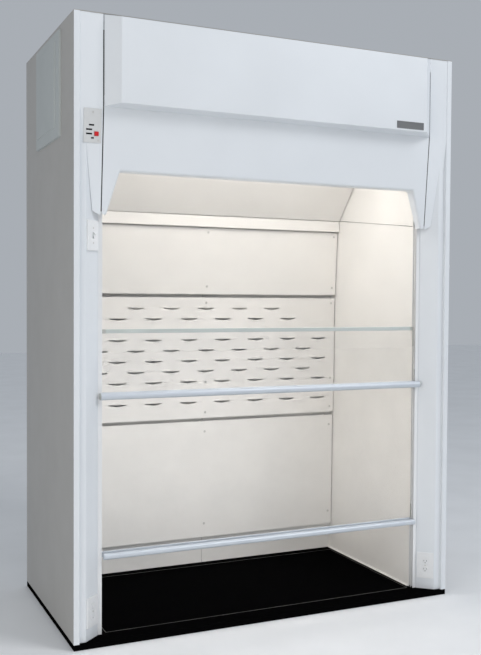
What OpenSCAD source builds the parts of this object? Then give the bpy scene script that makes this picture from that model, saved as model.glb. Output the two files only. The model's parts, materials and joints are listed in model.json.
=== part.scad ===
// Floor-mounted laboratory fume hood with two counterbalanced vertical sashes.
// X runs from left to right, Y from front to back and Z up, in millimetres.
// Depths are measured back from the front plane of the posts, and from_front()
// moves that plane so that the overall box is centred on the origin.

/* [Body] */
// Width over the side panels
body_w = 1829; // [1800:1:1900]
// Depth from the front plane of the posts to the back
body_d = 931; // [928:1:960]
// Height from the floor to the roof
body_h = 2566; // [2560:1:2600]
// Thickness of every sheet panel
skin = 3; // [2:0.5:4]
// Width of each hollow side wall, from the outside to the inner liner
wall_w = 137.5; // [136:0.5:139]
// Width of each front post
post_w = 119.5; // [118:0.5:121]

/* [Base] */
// Thickness of the work floor slab
base_h = 25; // [20:1:30]
// Depth of the spill dish in the work floor
dish_deep = 6; // [5:1:10]
// Distance from the side liners to the edge of the dish
dish_margin = 22; // [15:1:60]

/* [Fascia] */
// How far the fascia stands proud of the posts
fascia_proud = 55; // [40:1:70]
// Height of the lower edge of the fascia
fascia_z = 2196; // [2190:1:2230]
// How far the lower front panel leans back at its foot
lean_back = 38; // [20:1:40]

/* [Chamber] */
// Height of the ceiling liner
ceiling_z = 2200; // [2180:1:2220]
// Front face of the rear liner
rear_liner_y = 890; // [885:1:895]

/* [Exhaust] */
// Inner radius of the exhaust duct
duct_r = 150.5; // [120:0.5:151]
// Height of the duct above the roof
duct_rise = 76; // [60:1:90]

/* [Sashes] */
// Height of the lower handle's centre
lower_handle_z = 353; // [345:1:380]
// Height of the upper handle's centre
upper_handle_z = 1020; // [1000:1:1040]
// Thickness of the sash glass
glass_t = 6; // [5:0.5:6]

/* [Electrical] */
// Width of a wall plate
plate_w = 79; // [70:1:84]
// Height of a wall plate
plate_h = 124; // [114:1:130]
// Height of the centre of the outlets
outlet_z = 140; // [100:1:200]
// Height of the centre of the light switch
switch_z = 1679; // [1600:1:1700]

/* [Hidden] */
$fn = 64;

// Where the main planes lie
half_w = body_w / 2;
liner_x = half_w - wall_w;
post_x = half_w - post_w;
wall_top = body_h - skin;
plate_t = 2;
front_y = (fascia_proud + plate_t - body_d) / 2;
rear_liner_back = rear_liner_y + skin;

// Plan of a post: an outer strip, a groove, an inner strip and a slanting face
strip_w = 25;
groove_y = 15;
bevel_outer = [half_w - 53.5, 15.5];
bevel_inner = [post_x, 74];
post_return_y = 78;
bevel_mid = (bevel_outer + bevel_inner) / 2;
bevel_angle = atan2(bevel_outer[1] - bevel_inner[1], bevel_outer[0] - bevel_inner[0]);

// Half widths of the fascia at its back and at its face
fascia_half = post_x - 5;
fascia_face_half = fascia_half - fascia_proud;

// The leaning plane that the lower front panel and the post wings share
panel_y = 3;
lean_top_z = fascia_z - 6;
lean_foot_z = 1775;
lean_start_z = 1700;
lean_slope = (lean_back - panel_y) / (lean_top_z - lean_foot_z);
lean_angle = atan(lean_slope);
flange_y = 72;
wing_foot_z = [1762, 1779];

// Sash tracks and the two sash planes
track_y = [76, 109];
track_top_z = 2430;
slot_w = 10;
slot_floor = 4;
upper_y = 84;
lower_y = 100;
glide_gap = 0.3;
glass_half = liner_x + 10;

// Cable drops. Each pulley lies in an upright plane that starts above its sash edge
cable_x = liner_x + 6;
cable_r = 1.5;
pulley_z = 2480;
upper_pulley_r = 45;
lower_pulley_r = 70;
upper_pulley_turn = 35;
lower_pulley_turn = 75;
pulley_half = 5;
axle_r = 6;
running_gap = 0.05;

// Baffles as the top and foot of their front faces, each [depth, height]
baffle_half = liner_x - 5;
upper_baffle_line = [[817, 1792], [838, 1450]];
middle_baffle_line = [[842, 1432], [852, 800]];
lower_baffle_line = [[857, 782], [862, 168]];
canopy_line = [[570, 2118], [797, 1857]];
rail_line = [[797, 1854], [797, 1797]];
screw_x = 750;

// Louvre slots of the middle baffle
louvre_pitch = 191.5;
louvre_row_pitch = 54.6;
louvre_rows = 10;
louvre_top_z = 1379;

// Lamp
lamp_x = 598;
lamp_y = [232, 408];
lamp_top_z = ceiling_z + 73;

duct_y = 730;
duct_wall = 2;

// Alarm panel on the left post
alarm_x = -837;
alarm_z = 2116;

function unit(v) = v / norm(v);
function left_of(a, b) = let (d = unit(b - a)) [-d[1], d[0]];

// The point at distance t to the left of point i of an open outline, mitred at its bends
function beside(pts, i, t) =
    let (last = len(pts) - 1,
         n1 = left_of(pts[max(i - 1, 0)], pts[max(i, 1)]),
         n2 = left_of(pts[min(i, last - 1)], pts[min(i + 1, last)]))
    pts[i] + t * (n1 + n2) / (1 + n1 * n2);

// Depth at height z of a line given as [depth, height] at its two ends
function depth_at(line, z) =
    line[0][0] + (line[1][0] - line[0][0]) * (z - line[0][1]) / (line[1][1] - line[0][1]);

function lean_y(z) = panel_y + max(0, (lean_top_z - z) * lean_slope);

// Section of the leaning plane and the upright above it, from well below its foot
function lean_line(top_z) = [[lean_y(lean_start_z), lean_start_z], [panel_y, lean_top_z], [panel_y, top_z]];

// Section of a sheet bent along pts, with its thickness on the left
module bent_sheet(pts, t = skin)
    polygon(concat(pts, [for (i = [len(pts) - 1:-1:0]) beside(pts, i, t)]));

module from_front() translate([0, front_y, 0]) children();

module mirrored_pair() {
    children();
    mirror([1, 0, 0]) children();
}

// A block between two values on each axis
module block(x, y, z)
    translate([x[0], y[0], z[0]]) cube([x[1] - x[0], y[1] - y[0], z[1] - z[0]]);

// A [depth, height] section carried across the width
module across(half)
    translate([-half, 0, 0]) rotate([90, 0, 90]) linear_extrude(2 * half) children();

// An [x, height] outline carried from one depth to another
module through(y)
    translate([0, y[1], 0]) rotate([90, 0, 0]) linear_extrude(y[1] - y[0]) children();

module rod_x(x, y, z, r)
    translate([x[0], y, z]) rotate([0, 90, 0]) cylinder(h = x[1] - x[0], r = r);

// Local frame on the slanting face of the right post: X along the face, Y into the post
module on_bevel(z)
    from_front() translate([bevel_mid[0], bevel_mid[1], z]) rotate([0, 0, bevel_angle]) children();

// Local frame on the leaning wing of the left post: Y into the post
module on_alarm()
    from_front() translate([alarm_x, lean_y(alarm_z), alarm_z]) rotate([lean_angle, 0, 0]) children();

// ---- Body ----

module base_slab() color([0.04, 0.04, 0.045]) from_front() difference() {
    block([-half_w, half_w], [0, body_d], [0, base_h]);
    block([dish_margin - liner_x, liner_x - dish_margin], [92, 838], [base_h - dish_deep, base_h + 1]);
}

module side_panels() color([0.86, 0.87, 0.88]) from_front() mirrored_pair() difference() {
    block([half_w - skin, half_w], [skin, body_d - skin], [base_h, wall_top]);
    block([half_w - 2 * skin, half_w + 1], [250, 640], [2125, 2520]);
}

module rear_panel() color([0.86, 0.87, 0.88]) from_front()
    block([-half_w, half_w], [body_d - skin, body_d], [base_h, wall_top]);

module roof_panel() color([0.86, 0.87, 0.88]) from_front() difference() {
    block([-half_w, half_w], [0, body_d], [wall_top, body_h]);
    translate([0, duct_y, wall_top - 1]) cylinder(h = skin + 2, r = duct_r + 7, $fn = 96);
}

module side_liners() color([0.93, 0.92, 0.88]) from_front() mirrored_pair()
    block([liner_x, liner_x + skin], [track_y[1], rear_liner_back], [base_h, ceiling_z]);

module rear_liner() color([0.93, 0.92, 0.88]) from_front() mirrored_pair()
    block([1, liner_x], [rear_liner_y, rear_liner_back], [base_h, ceiling_z]);

module ceiling_liner() color([0.93, 0.92, 0.88]) from_front() difference() {
    block([-liner_x - skin, liner_x + skin], [track_y[1], rear_liner_back],
          [ceiling_z, ceiling_z + skin]);
    block([8 - lamp_x, lamp_x - 8], [lamp_y[0] + 8, lamp_y[1] - 8], [ceiling_z - 1, ceiling_z + 5]);
    translate([0, duct_y, ceiling_z - 1]) cylinder(h = skin + 2, r = duct_r + 6, $fn = 96);
}

module canopy_panel() color([0.93, 0.92, 0.88]) from_front() across(baffle_half)
    bent_sheet([canopy_line[0] + [-14, 0], canopy_line[0], canopy_line[1]]);

module canopy_rail() color([0.95, 0.94, 0.90]) from_front() across(baffle_half)
    bent_sheet([rail_line[0], rail_line[1], rail_line[1] + [19, 0]]);

module light_housing() color([0.9, 0.9, 0.9]) from_front() {
    difference() {
        block([-lamp_x - 6, lamp_x + 6], [lamp_y[0] - 6, lamp_y[1] + 6],
              [ceiling_z + skin, lamp_top_z]);
        block([-lamp_x - 4, lamp_x + 4], [lamp_y[0] - 4, lamp_y[1] + 4],
              [ceiling_z, lamp_top_z - 2]);
    }
    mirrored_pair() for (y = [lamp_y[0] + 53, lamp_y[1] - 53])
        block([lamp_x - 22, lamp_x + 4], [y - 16, y + 16], [lamp_top_z - 44, lamp_top_z - 2]);
}

module light_lens() color([0.9, 0.95, 0.95, 0.5]) from_front()
    block([-lamp_x, lamp_x], lamp_y, [ceiling_z + skin, ceiling_z + skin + 6]);

module lamp_tubes() color([1, 0.98, 0.9]) from_front()
    for (y = [lamp_y[0] + 53, lamp_y[1] - 53])
        rod_x([22 - lamp_x, lamp_x - 22], y, lamp_top_z - 24, 13);

module exhaust_duct() color([0.75, 0.76, 0.78]) from_front() translate([0, duct_y, 0])
    rotate_extrude($fn = 96) polygon([
        [duct_r, ceiling_z + skin],
        [duct_r + 34, ceiling_z + skin],
        [duct_r + 34, ceiling_z + 2 * skin],
        [duct_r + duct_wall, ceiling_z + 2 * skin],
        [duct_r + duct_wall, body_h + duct_rise],
        [duct_r, body_h + duct_rise]]);

// ---- Baffles ----

module baffle_sheet(line) across(baffle_half) bent_sheet(line);

module upper_baffle() color([0.92, 0.91, 0.87]) from_front() baffle_sheet(upper_baffle_line);

module lower_baffle() color([0.92, 0.91, 0.87]) from_front() baffle_sheet(lower_baffle_line);

// One louvre slot: a level top edge and a shallow V below it
module louvre() polygon([[-45.5, 0], [45.5, 0], [45.5, -5], [0, -12], [-45.5, -5]]);

// Rows alternate by half a pitch, and the first two rows lack their outermost slots
module middle_baffle() color([0.92, 0.91, 0.87]) from_front() difference() {
    baffle_sheet(middle_baffle_line);
    through([830, 870])
        for (row = [0:louvre_rows - 1]) {
            reach = (row < 2 ? 2 : 3) + (row % 2) / 2;
            for (k = [-reach:reach])
                translate([k * louvre_pitch, louvre_top_z - row * louvre_row_pitch]) louvre();
        }
}

// Standoffs that hold the baffles clear of the rear liner
module baffle_spacers() color([0.6, 0.6, 0.58]) from_front()
    for (x = [-screw_x, 0, screw_x], seat = [[rail_line, 1803, 1840],
            [upper_baffle_line, 1760, 1790], [upper_baffle_line, 1452, 1480],
            [middle_baffle_line, 1400, 1430], [middle_baffle_line, 802, 830],
            [lower_baffle_line, 752, 780], [lower_baffle_line, 172, 200]])
        translate([x, 0, 0]) across(12) polygon([
            [depth_at(seat[0], seat[1]) + skin * 1.01, seat[1]],
            [rear_liner_y, seat[1]],
            [rear_liner_y, seat[2]],
            [depth_at(seat[0], seat[2]) + skin * 1.01, seat[2]]]);

module baffle_screws() color([0.8, 0.8, 0.78]) from_front()
    for (x = [-screw_x, 0, screw_x], seat = [[upper_baffle_line, 1770],
            [upper_baffle_line, 1490], [middle_baffle_line, 1405], [middle_baffle_line, 990],
            [middle_baffle_line, 830], [lower_baffle_line, 728], [lower_baffle_line, 240]])
        translate([x, depth_at(seat[0], seat[1]), seat[1]])
            rotate([90 + atan2(seat[0][1][0] - seat[0][0][0], seat[0][0][1] - seat[0][1][1]), 0, 0])
                cylinder(h = 3, r = 6, $fn = 24);

// ---- Front ----

// The openings in the slanting face behind a wall plate
module plate_cutout(z) on_bevel(z) block([-19, 19], [-1, skin + 1], [-37, 37]);

module post() {
    difference() {
        from_front() translate([0, 0, base_h]) linear_extrude(wall_top - base_h) bent_sheet([
            [post_x, post_return_y], bevel_inner, bevel_outer, [half_w - strip_w, groove_y],
            [half_w - strip_w, 0], [half_w, 0]]);
        plate_cutout(outlet_z);
        children();
    }
    // The wing lies in the plane of the lower front panel and ends where it meets the slant
    from_front() intersection() {
        across(half_w) bent_sheet(lean_line(wall_top), -skin);
        through([-1, 60]) polygon([[post_x, wing_foot_z[0]], [post_x + 35, wing_foot_z[1]],
            [bevel_outer[0], 2050], [half_w - strip_w + 1, 2050], [half_w - strip_w + 1, wall_top],
            [post_x, wall_top]]);
    }
}

module right_post() color([0.89, 0.91, 0.93]) post();

module left_post() color([0.89, 0.91, 0.93]) difference() {
    mirror([1, 0, 0]) post() plate_cutout(switch_z);
    on_alarm() block([-27.5, 27.5], [-2, 34], [-56.5, 56.5]);
}

module header_beam() color([0.7, 0.72, 0.74]) from_front() difference() {
    block([-post_x, post_x], [skin, 45], [wall_top - 63, wall_top]);
    block([-post_x - 1, post_x + 1], [skin * 2, 45 - skin], [wall_top - 64, wall_top - skin]);
}

// Solid form of the fascia, drawn in by the given amount and open at the back when drawn in
module fascia_form(inset) {
    face_y = inset - fascia_proud;
    back_y = panel_y + inset / 4;
    mitre = inset * (sqrt(2) - 1);
    intersection() {
        across(half_w) polygon([[back_y, fascia_z - 1 + inset], [face_y, fascia_z + 8 + inset],
            [face_y, wall_top - 18 - inset], [back_y, wall_top - 3 - inset]]);
        linear_extrude(2 * body_h) polygon([[inset - fascia_half, back_y], [inset - fascia_half, mitre],
            [mitre - fascia_face_half, face_y], [fascia_face_half - mitre, face_y],
            [fascia_half - inset, mitre], [fascia_half - inset, back_y]]);
    }
}

module fascia() color([0.89, 0.91, 0.93]) from_front() difference() {
    fascia_form(0);
    fascia_form(skin);
}

// Outline of the cut-out in the lower panel, drawn in by the given amount
module panel_cutout(inset) polygon([[inset - 777, 1740], [inset - 716, 1942 - inset],
    [716 - inset, 1942 - inset], [777 - inset, 1740]]);

module lower_panel() color([0.88, 0.90, 0.92]) from_front() {
    intersection() {
        across(fascia_half) bent_sheet(lean_line(2240), -skin);
        through([-1, 60]) difference() {
            translate([-fascia_half, lean_foot_z - 9]) square([2 * fascia_half, 480]);
            panel_cutout(0);
        }
    }
    // The flange turned back round the cut-out
    intersection() {
        across(fascia_half) polygon(concat(lean_line(2240), [[flange_y, 2240], [flange_y, lean_start_z]]));
        through([-1, 90]) intersection() {
            difference() {
                panel_cutout(-skin);
                panel_cutout(0);
            }
            translate([-fascia_half, lean_foot_z - 9]) square([2 * fascia_half, 480]);
        }
    }
}

module nameplate() color([0.55, 0.56, 0.56]) from_front()
    block([570, 717], [-fascia_proud - plate_t, -fascia_proud], [fascia_z + 16, fascia_z + 49]);

// ---- Sashes ----

module sash_tracks() color([0.92, 0.93, 0.94]) from_front() mirrored_pair() difference() {
    block([liner_x, post_x], track_y, [base_h, track_top_z]);
    for (y = [upper_y, lower_y])
        block([liner_x - 1, post_x - slot_floor], [y - slot_w / 2, y + slot_w / 2],
              [base_h - 1, track_top_z + 1]);
}

module track_bumpers() color([0.15, 0.15, 0.15]) from_front() mirrored_pair()
    for (y = [upper_y, lower_y])
        block([liner_x, post_x - slot_floor], [y - slot_w / 2, y + slot_w / 2], [base_h, base_h + 6]);

module glass(y, z) from_front()
    block([-glass_half, glass_half], [y - glass_t / 2, y + glass_t / 2], z);

// A block that runs in a track slot and grips the edge of the glass
module glide(y, z) difference() {
    block([liner_x + 0.5, post_x - slot_floor - 0.5],
          [y - slot_w / 2 + glide_gap, y + slot_w / 2 - glide_gap], z);
    block([0, glass_half], [y - glass_t / 2, y + glass_t / 2], [z[0] - 1, z[1] + 1]);
}

module upper_sash_glass() color([0.85, 0.93, 0.93, 0.3])
    glass(upper_y, [upper_handle_z - 8, upper_handle_z + 990]);

// Pull bar and glazing channel in one extrusion
module upper_sash_handle() color([0.90, 0.92, 0.94]) from_front() {
    difference() {
        union() {
            rod_x([-788, 788], upper_y - 25, upper_handle_z, 15);
            block([-774, 774], [upper_y - 14, upper_y - 7], [upper_handle_z - 4, upper_handle_z + 4]);
            block([-774, 774], [upper_y - 7, upper_y + 7], [upper_handle_z - 14, upper_handle_z + 14]);
        }
        rod_x([-789, 789], upper_y - 25, upper_handle_z, 12.5);
        block([-775, 775], [upper_y - glass_t / 2, upper_y + glass_t / 2],
              [upper_handle_z - 8, upper_handle_z + 15]);
    }
}

module upper_handle_plugs() color([0.66, 0.67, 0.64]) from_front() mirrored_pair() {
    rod_x([770, 788], upper_y - 25, upper_handle_z, 12.5);
    rod_x([788, 792], upper_y - 25, upper_handle_z, 14);
}

module upper_sash_glides() color([0.75, 0.75, 0.72]) from_front() mirrored_pair() {
    glide(upper_y, [upper_handle_z + 10, upper_handle_z + 70]);
    glide(upper_y, [upper_handle_z + 920, upper_handle_z + 990]);
}

module lower_sash_glass() color([0.85, 0.93, 0.93, 0.3])
    glass(lower_y, [lower_handle_z - 4, lower_handle_z + 938]);

module lower_top_rail() color([0.80, 0.84, 0.83]) from_front() difference() {
    block([-757, 757], [lower_y - 7, lower_y + 7], [lower_handle_z + 926, lower_handle_z + 943]);
    block([-758, 758], [lower_y - glass_t / 2, lower_y + glass_t / 2],
          [lower_handle_z + 925, lower_handle_z + 938]);
}

module lower_bottom_rail() color([0.90, 0.92, 0.94]) from_front() difference() {
    block([-774, 774], [lower_y - 7, lower_y + 7], [lower_handle_z - 8, lower_handle_z + 13]);
    block([-775, 775], [lower_y - glass_t / 2, lower_y + glass_t / 2],
          [lower_handle_z - 4, lower_handle_z + 14]);
}

module lower_sash_handle() color([0.90, 0.92, 0.94]) from_front() {
    rod_x([-773, 773], lower_y - 37, lower_handle_z, 13);
    for (x = [-740, -370, 0, 370, 740])
        block([x - 10, x + 10], [lower_y - 30, lower_y - 7],
              [lower_handle_z - 5, lower_handle_z + 5]);
}

// Edge glides and the corner caps of the top rail
module lower_sash_glides() color([0.66, 0.67, 0.64]) from_front() mirrored_pair() {
    glide(lower_y, [lower_handle_z + 14, lower_handle_z + 80]);
    glide(lower_y, [lower_handle_z + 850, lower_handle_z + 924]);
    difference() {
        block([757, 774], [lower_y - 7, lower_y + 7], [lower_handle_z + 926, lower_handle_z + 943]);
        block([756, 775], [lower_y - glass_t / 2, lower_y + glass_t / 2],
              [lower_handle_z + 925, lower_handle_z + 938]);
    }
}

// ---- Counterbalance ----

// Local frame of a pulley on the right: its axis along Y, its sash cable at x = -r
module at_pulley(y, r, turn)
    from_front() translate([cable_x, y, pulley_z]) rotate([0, 0, turn]) translate([r, 0, 0]) children();

module pulley(r) rotate([90, 0, 0]) rotate_extrude($fn = 96) polygon([
    [axle_r + running_gap, -pulley_half],
    [r + 3, -pulley_half],
    [r + 3, -pulley_half + 1.5],
    [r - 2, -2],
    [r - 2, 2],
    [r + 3, pulley_half - 1.5],
    [r + 3, pulley_half],
    [axle_r + running_gap, pulley_half]]);

module bracket(r) difference() {
    union() {
        for (side = [-1, 1])
            block([-18, 18], [side * 7.5 - 1.5, side * 7.5 + 1.5], [-16, wall_top - pulley_z]);
        block([-18, 18], [-9, 9], [wall_top - pulley_z - 3, wall_top - pulley_z]);
    }
    translate([0, 10, 0]) rotate([90, 0, 0]) cylinder(h = 20, r = axle_r);
}

module axle() translate([0, 11, 0]) rotate([90, 0, 0]) cylinder(h = 22, r = axle_r);

// The part of a cable that lies over its pulley
module wrap(r) rotate([90, 0, 0]) rotate_extrude(angle = 180, $fn = 96)
    translate([r, 0]) circle(r = cable_r, $fn = 16);

module at_upper_pulley() at_pulley(upper_y, upper_pulley_r, upper_pulley_turn) children();

module at_lower_pulley() at_pulley(lower_y, lower_pulley_r, lower_pulley_turn) children();

module right_upper_pulley() color([0.3, 0.3, 0.32]) at_upper_pulley() pulley(upper_pulley_r);

module left_upper_pulley() mirror([1, 0, 0]) right_upper_pulley();

module right_lower_pulley() color([0.3, 0.3, 0.32]) at_lower_pulley() pulley(lower_pulley_r);

module left_lower_pulley() mirror([1, 0, 0]) right_lower_pulley();

module pulley_brackets() color([0.7, 0.72, 0.74]) mirrored_pair() {
    at_upper_pulley() bracket(upper_pulley_r);
    at_lower_pulley() bracket(lower_pulley_r);
}

module pulley_axles() color([0.6, 0.6, 0.62]) mirrored_pair() {
    at_upper_pulley() axle();
    at_lower_pulley() axle();
}

module cable_wraps() color([0.5, 0.5, 0.52]) mirrored_pair() {
    at_upper_pulley() wrap(upper_pulley_r);
    at_lower_pulley() wrap(lower_pulley_r);
}

// An upright length of cable between a height and the pulley centre
module drop(z) translate([0, 0, z - pulley_z]) cylinder(h = pulley_z - z, r = cable_r, $fn = 16);

upper_weight_top = 2260;
lower_weight_top = 1900;
upper_weight_size = [36, 44, 1128];
lower_weight_size = [40, 60, 753];

module upper_lift_cables() color([0.5, 0.5, 0.52]) mirrored_pair() at_upper_pulley()
    translate([-upper_pulley_r, 0, 0]) drop(upper_handle_z + 990);

module lower_lift_cables() color([0.5, 0.5, 0.52]) mirrored_pair() at_lower_pulley()
    translate([-lower_pulley_r, 0, 0]) drop(lower_handle_z + 938);

module upper_weight_cables() color([0.5, 0.5, 0.52]) mirrored_pair() at_upper_pulley()
    translate([upper_pulley_r, 0, 0]) drop(upper_weight_top);

module lower_weight_cables() color([0.5, 0.5, 0.52]) mirrored_pair() at_lower_pulley()
    translate([lower_pulley_r, 0, 0]) drop(lower_weight_top);

// A bar hung on its cable, square to the side walls
module counterweight(turn, size, top_z) rotate([0, 0, -turn])
    translate([-size[0] / 2, -size[1] / 2, top_z - size[2] - pulley_z]) cube(size);

module upper_counterweights() color([0.35, 0.36, 0.38]) mirrored_pair() at_upper_pulley()
    translate([upper_pulley_r, 0, 0])
        counterweight(upper_pulley_turn, upper_weight_size, upper_weight_top);

module lower_counterweights() color([0.35, 0.36, 0.38]) mirrored_pair() at_lower_pulley()
    translate([lower_pulley_r, 0, 0])
        counterweight(lower_pulley_turn, lower_weight_size, lower_weight_top);

// ---- Electrical ----

// Face of one socket of a duplex outlet, as an outline seen from the front
module socket_face(r) for (side = [-1, 1]) translate([0, side * 19.5]) intersection() {
    circle(r = r);
    square([2 * r, 2 * r - 6], center = true);
}

// Two blade slots and an earth hole
module socket_slots() for (side = [-1, 1]) translate([0, side * 19.5]) {
    for (x = [-6.3, 6.3])
        translate([x - 1, -1]) square([2, 8]);
    translate([0, -7]) circle(r = 2.6, $fn = 8);
}

module plate_block() block([-plate_w / 2, plate_w / 2], [-6, 0], [-plate_h / 2, plate_h / 2]);

module outlet_plates() color([0.95, 0.95, 0.95]) mirrored_pair() on_bevel(outlet_z) difference() {
    plate_block();
    through([-7, 1]) socket_face(17.5);
}

module receptacles() color([0.93, 0.93, 0.93]) mirrored_pair() on_bevel(outlet_z) difference() {
    union() {
        through([-7, 0]) socket_face(17.2);
        block([-16.5, 16.5], [0, 30], [-34, 34]);
    }
    through([-8, 6]) socket_slots();
}

module switch_plate() color([0.95, 0.95, 0.95]) mirror([1, 0, 0]) on_bevel(switch_z) difference() {
    plate_block();
    block([-5.2, 5.2], [-7, 1], [-12.5, 12.5]);
}

module switch_body() color([0.9, 0.9, 0.9]) mirror([1, 0, 0]) on_bevel(switch_z) {
    block([-16.5, 16.5], [9, 34], [-34, 34]);
    for (side = [-1, 1])
        block([side * 10.75 - 5.75, side * 10.75 + 5.75], [0, 9], [-34, 34]);
}

toggle_tilt = 20;
toggle_pivot_y = 2;
module switch_toggle() color([0.97, 0.97, 0.97]) mirror([1, 0, 0]) on_bevel(switch_z)
    translate([0, toggle_pivot_y, 0]) {
        rod_x([-4.5, 4.5], 0, 0, 6);
        rotate([-toggle_tilt, 0, 0]) translate([-4, 0, 0]) rotate([90, 0, 90])
            linear_extrude(8) polygon([[0, -4.5], [0, 4.5], [-21, 3], [-21, -3]]);
    }

// A steel box open towards its plate
module wall_box(x, y, z) difference() {
    block([-x, x], y, [-z, z]);
    block([-x + 1.6, x - 1.6], [y[0] - 1, y[1] - 1.6], [-z + 1.6, z - 1.6]);
}

module device_boxes() color([0.6, 0.62, 0.63]) {
    mirrored_pair() on_bevel(outlet_z) wall_box(26, [skin, 46], 48);
    mirror([1, 0, 0]) on_bevel(switch_z) wall_box(26, [skin, 46], 48);
    on_alarm() wall_box(27, [0, 30], 56);
}

module plate_screws() color([0.8, 0.8, 0.8]) {
    mirrored_pair() on_bevel(outlet_z) through([-7.4, -6]) circle(r = 3.6, $fn = 24);
    mirror([1, 0, 0]) on_bevel(switch_z) for (z = [-30.2, 30.2])
        translate([0, 0, z]) through([-7.4, -6]) circle(r = 3.6, $fn = 24);
    on_alarm() for (p = [[1, 53], [24, -58]])
        translate([p[0], 0, p[1]]) through([-4, -3]) circle(r = 2.5, $fn = 24);
}

// Outlines of the alarm's indicator windows, each [left, right, height of its centre]
alarm_windows_list = [[-15, 6, 2], [-26, -2, -16], [-26, -2, -33], [-5, 6, -49]];
alarm_button_at = [16.5, -31.5];

module alarm_window_outlines() for (w = alarm_windows_list)
    translate([w[0], w[2] - 3]) square([w[1] - w[0], 6]);

module alarm_plate() color([0.88, 0.88, 0.88]) on_alarm() difference() {
    block([-36.5, 36.5], [-skin, 0], [-68, 68]);
    through([-skin - 1, 1]) alarm_window_outlines();
    through([-skin - 1, 1]) translate(alarm_button_at) square(17.6, center = true);
}

module alarm_windows() color([0.08, 0.08, 0.09]) on_alarm()
    through([-skin - 0.6, 0]) alarm_window_outlines();

module alarm_button() color([0.8, 0.05, 0.06]) on_alarm()
    through([-7, 6]) translate(alarm_button_at) square(16.8, center = true);

// ---- Covers ----

// Raised cover over the service opening of a side panel
module access_cover() difference() {
    union() {
        block([half_w, half_w + 8], [221, 672], [2099, 2547]);
        block([half_w + 8, half_w + 12], [295, 648], [2146, 2512]);
    }
    block([half_w - 1, half_w + 5], [224, 669], [2102, 2544]);
    block([half_w, half_w + 9], [298, 645], [2149, 2509]);
}

module access_covers() color([0.78, 0.82, 0.85]) from_front() mirrored_pair() access_cover();

conduit_r = 11.1;
module junction_box() color([0.7, 0.72, 0.74]) from_front() translate([-600, 300, body_h]) difference() {
    block([-60, 60], [-60, 60], [0, 54]);
    block([-58, 58], [-58, 58], [2, 52]);
    translate([-61, 0, 27]) rotate([0, 90, 0]) cylinder(h = 4, r = conduit_r);
}

base_slab();
side_panels();
rear_panel();
roof_panel();
side_liners();
rear_liner();
ceiling_liner();
canopy_panel();
canopy_rail();
upper_baffle();
middle_baffle();
lower_baffle();
baffle_spacers();
baffle_screws();
light_housing();
light_lens();
lamp_tubes();
exhaust_duct();
left_post();
right_post();
header_beam();
fascia();
lower_panel();
nameplate();
sash_tracks();
track_bumpers();
upper_sash_glass();
upper_sash_handle();
upper_handle_plugs();
upper_sash_glides();
lower_sash_glass();
lower_top_rail();
lower_bottom_rail();
lower_sash_handle();
lower_sash_glides();
left_upper_pulley();
right_upper_pulley();
left_lower_pulley();
right_lower_pulley();
pulley_brackets();
pulley_axles();
cable_wraps();
upper_lift_cables();
upper_weight_cables();
lower_lift_cables();
lower_weight_cables();
upper_counterweights();
lower_counterweights();
outlet_plates();
receptacles();
device_boxes();
plate_screws();
switch_plate();
switch_body();
switch_toggle();
alarm_plate();
alarm_windows();
alarm_button();
access_covers();
junction_box();
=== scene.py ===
"""A floor-mounted fume hood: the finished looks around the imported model.

Measures are in millimetres: x from the middle, depth back from the front plane of the posts,
height from the floor. at() turns them into the model's metres.
"""

import json
import math

import bmesh
import bpy
from mathutils import Matrix, Vector


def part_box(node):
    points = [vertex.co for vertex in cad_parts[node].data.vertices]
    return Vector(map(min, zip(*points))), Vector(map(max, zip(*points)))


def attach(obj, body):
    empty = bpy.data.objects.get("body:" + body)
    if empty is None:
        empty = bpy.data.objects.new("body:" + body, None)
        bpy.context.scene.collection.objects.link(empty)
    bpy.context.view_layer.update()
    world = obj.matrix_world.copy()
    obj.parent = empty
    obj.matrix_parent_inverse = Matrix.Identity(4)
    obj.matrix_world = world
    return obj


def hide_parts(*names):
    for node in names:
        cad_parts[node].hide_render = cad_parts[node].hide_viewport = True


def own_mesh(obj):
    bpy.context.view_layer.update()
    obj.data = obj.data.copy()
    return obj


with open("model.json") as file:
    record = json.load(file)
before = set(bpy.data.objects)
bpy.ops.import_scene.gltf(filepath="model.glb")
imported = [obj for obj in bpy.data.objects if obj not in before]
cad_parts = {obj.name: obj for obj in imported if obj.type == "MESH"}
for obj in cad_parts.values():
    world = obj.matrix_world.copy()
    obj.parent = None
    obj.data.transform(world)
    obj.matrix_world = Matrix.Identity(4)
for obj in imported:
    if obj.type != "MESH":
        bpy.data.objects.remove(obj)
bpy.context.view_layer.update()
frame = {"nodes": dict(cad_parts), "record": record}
nodes = frame["nodes"]

MM = 1000
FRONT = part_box("left_post")[0][1] * MM
HALF_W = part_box("right_post")[1][0] * MM
SKIN = 3.0


def at(x, depth, height):
    return Vector((x, depth + FRONT, height)) / MM


# ---------------------------------------------------------------- camera and studio

SENSOR = 36
# Focal length as a share of the frame's height
FOCAL_SHARE = 918.4 / 655
CAMERA_PLACE = (-1825.0, -3605.7, 1423.3)
# Yaw, pitch and roll in degrees
CAMERA_TURN = (24.46, -1.75, 0.34)
SKY_COLOUR = (0.86, 0.92, 1.0)
SKY_STRENGTH = 0.46


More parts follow.
